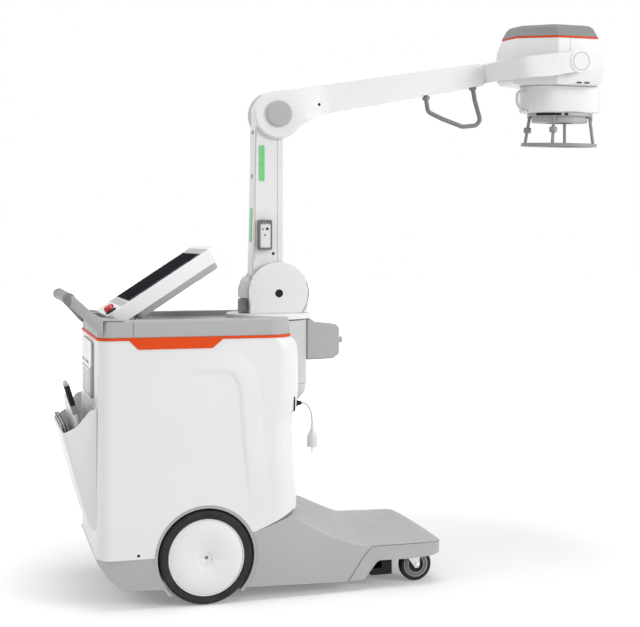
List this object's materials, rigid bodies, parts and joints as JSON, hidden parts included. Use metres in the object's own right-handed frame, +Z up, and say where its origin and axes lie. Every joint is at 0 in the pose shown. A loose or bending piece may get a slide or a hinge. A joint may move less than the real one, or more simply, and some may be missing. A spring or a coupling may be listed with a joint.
{
  "type": "mobile x-ray machine",
  "caption": "Battery driven trolley with a swivelling two-part arm, a tube head with beam limiter, a tilting touch screen and a detector pocket.",
  "frame": {"origin": "on the floor, under the middle of the machine's length and width", "axes": "+X is the way the machine drives forward and the way the arm points at rest, +Y is its left side, +Z is up"},
  "size_m": [1.9689, 0.58, 1.9482],
  "materials": {
    "white_cover": "satin moulded",
    "grey_cover": "satin moulded",
    "light_grey_cover": "satin moulded",
    "bumper": "fine grain",
    "black_steel": "satin black paint",
    "orange_trim": "semi gloss",
    "plate_white": "satin",
    "plate_grey": "satin",
    "black_plastic": "satin",
    "cord_grey": "matte",
    "plug_white": "satin",
    "steel": "turned",
    "tyre": "matte, fine tread",
    "wheel_white": "satin",
    "caster_steel": "zinc plated",
    "caster_tyre": "satin rubber",
    "arm_white": "satin paint",
    "status_light": "lit diffuser",
    "remote_grey": "satin",
    "handle_grey": "soft grip",
    "cap_grey": "satin",
    "spacer_grey": "satin",
    "monitor_white": "satin",
    "screen_glass": "glossy",
    "stop_red": "gloss"
  },
  "bodies": {
    "root": {"platform_cover": "grey_cover", "front_bumper": "bumper", "caster_frame": "black_steel", "body_shell": "white_cover", "trim_band": "orange_trim", "top_deck": "grey_cover", "column_housing": "light_grey_cover", "column_foot": "light_grey_cover", "parking_bracket": "grey_cover", "push_handle": "grey_cover", "rear_panel": "grey_cover", "detector_bin": "white_cover", "detector_plate": "plate_white", "spare_plate": "plate_grey", "cable_gland": "black_plastic", "power_cord": "cord_grey", "mains_plug": "plug_white", "right_axle_stub": "steel", "left_axle_stub": "steel", "right_monitor_bracket": "grey_cover", "left_monitor_bracket": "grey_cover"},
    "right_wheel": {"right_tyre": "tyre", "right_wheel_disc": "wheel_white"},
    "left_wheel": {"left_tyre": "tyre", "left_wheel_disc": "wheel_white"},
    "right_caster": {"right_caster_fork": "caster_steel"},
    "left_caster": {"left_caster_fork": "caster_steel"},
    "right_caster_roller": {"right_caster_wheel": "caster_tyre"},
    "left_caster_roller": {"left_caster_wheel": "caster_tyre"},
    "arm_base": {"swivel_collar": "arm_white", "shoulder_yoke": "arm_white", "swivel_lock": "grey_cover"},
    "lower_arm": {"lower_arm_beam": "arm_white", "side_light": "status_light", "rear_light": "status_light", "remote_holder": "black_plastic", "remote_control": "remote_grey"},
    "upper_arm": {"upper_arm_beam": "arm_white", "right_elbow_cap": "grey_cover", "left_elbow_cap": "grey_cover", "arm_handle": "handle_grey"},
    "fork": {"roll_ring": "light_grey_cover", "head_fork": "arm_white"},
    "head": {"tube_housing": "arm_white", "tube_trim": "orange_trim", "tube_cap": "cap_grey"},
    "collimator": {"collimator_box": "arm_white", "lens_base": "grey_cover", "spacer_frame": "spacer_grey"},
    "monitor": {"monitor_back": "grey_cover", "monitor_housing": "monitor_white", "monitor_screen": "screen_glass", "stop_button": "stop_red", "key_switch": "black_plastic"}
  },
  "joints": [
    {"name": "right_wheel_roll", "type": "hinge", "parent": "root", "child": "right_wheel", "pos_m": [-0.5395, -0.265, 0.15], "axis": [0, 1, 0], "continuous": true},
    {"name": "left_wheel_roll", "type": "hinge", "parent": "root", "child": "left_wheel", "pos_m": [-0.5395, 0.265, 0.15], "axis": [0, 1, 0], "continuous": true},
    {"name": "right_caster_swivel", "type": "hinge", "parent": "root", "child": "right_caster", "pos_m": [0.1825, -0.19, 0.056], "axis": [0, 0, 1], "continuous": true},
    {"name": "left_caster_swivel", "type": "hinge", "parent": "root", "child": "left_caster", "pos_m": [0.1825, 0.19, 0.056], "axis": [0, 0, 1], "continuous": true},
    {"name": "right_caster_roll", "type": "hinge", "parent": "right_caster", "child": "right_caster_roller", "pos_m": [0.1985, -0.19, 0.056], "axis": [0, 1, 0], "continuous": true},
    {"name": "left_caster_roll", "type": "hinge", "parent": "left_caster", "child": "left_caster_roller", "pos_m": [0.1985, 0.19, 0.056], "axis": [0, 1, 0], "continuous": true},
    {"name": "column_swivel", "type": "hinge", "parent": "root", "child": "arm_base", "pos_m": [-0.2675, 0, 0.91], "axis": [0, 0, 1], "range_deg": [-90, 90]},
    {"name": "lower_arm_tilt", "type": "hinge", "parent": "arm_base", "child": "lower_arm", "pos_m": [-0.2465, 0, 0.978], "axis": [0, 1, 0], "range_deg": [-5, 40]},
    {"name": "elbow_tilt", "type": "hinge", "parent": "lower_arm", "child": "upper_arm", "pos_m": [-0.2455, 0, 1.592], "axis": [0, -1, 0], "range_deg": [-70, 30]},
    {"name": "head_roll", "type": "hinge", "parent": "upper_arm", "child": "fork", "pos_m": [0.50519, 0, 1.75621], "axis": [0.9836, 0, 0.1805], "range_deg": [-90, 90]},
    {"name": "head_tilt", "type": "hinge", "parent": "fork", "child": "head", "pos_m": [0.81449, 0.00047, 1.80486], "axis": [-0.0107, 0.9982, 0.0583], "range_deg": [-90, 20]},
    {"name": "collimator_turn", "type": "hinge", "parent": "head", "child": "collimator", "pos_m": [0.84547, 0.00541, 1.726], "axis": [0.0003, -0.0583, 0.9983], "range_deg": [-90, 90]},
    {"name": "monitor_tilt", "type": "hinge", "parent": "root", "child": "monitor", "pos_m": [-0.7526, 0, 0.9032], "axis": [0, -1, 0], "range_deg": [-33, 12]}
  ]
}
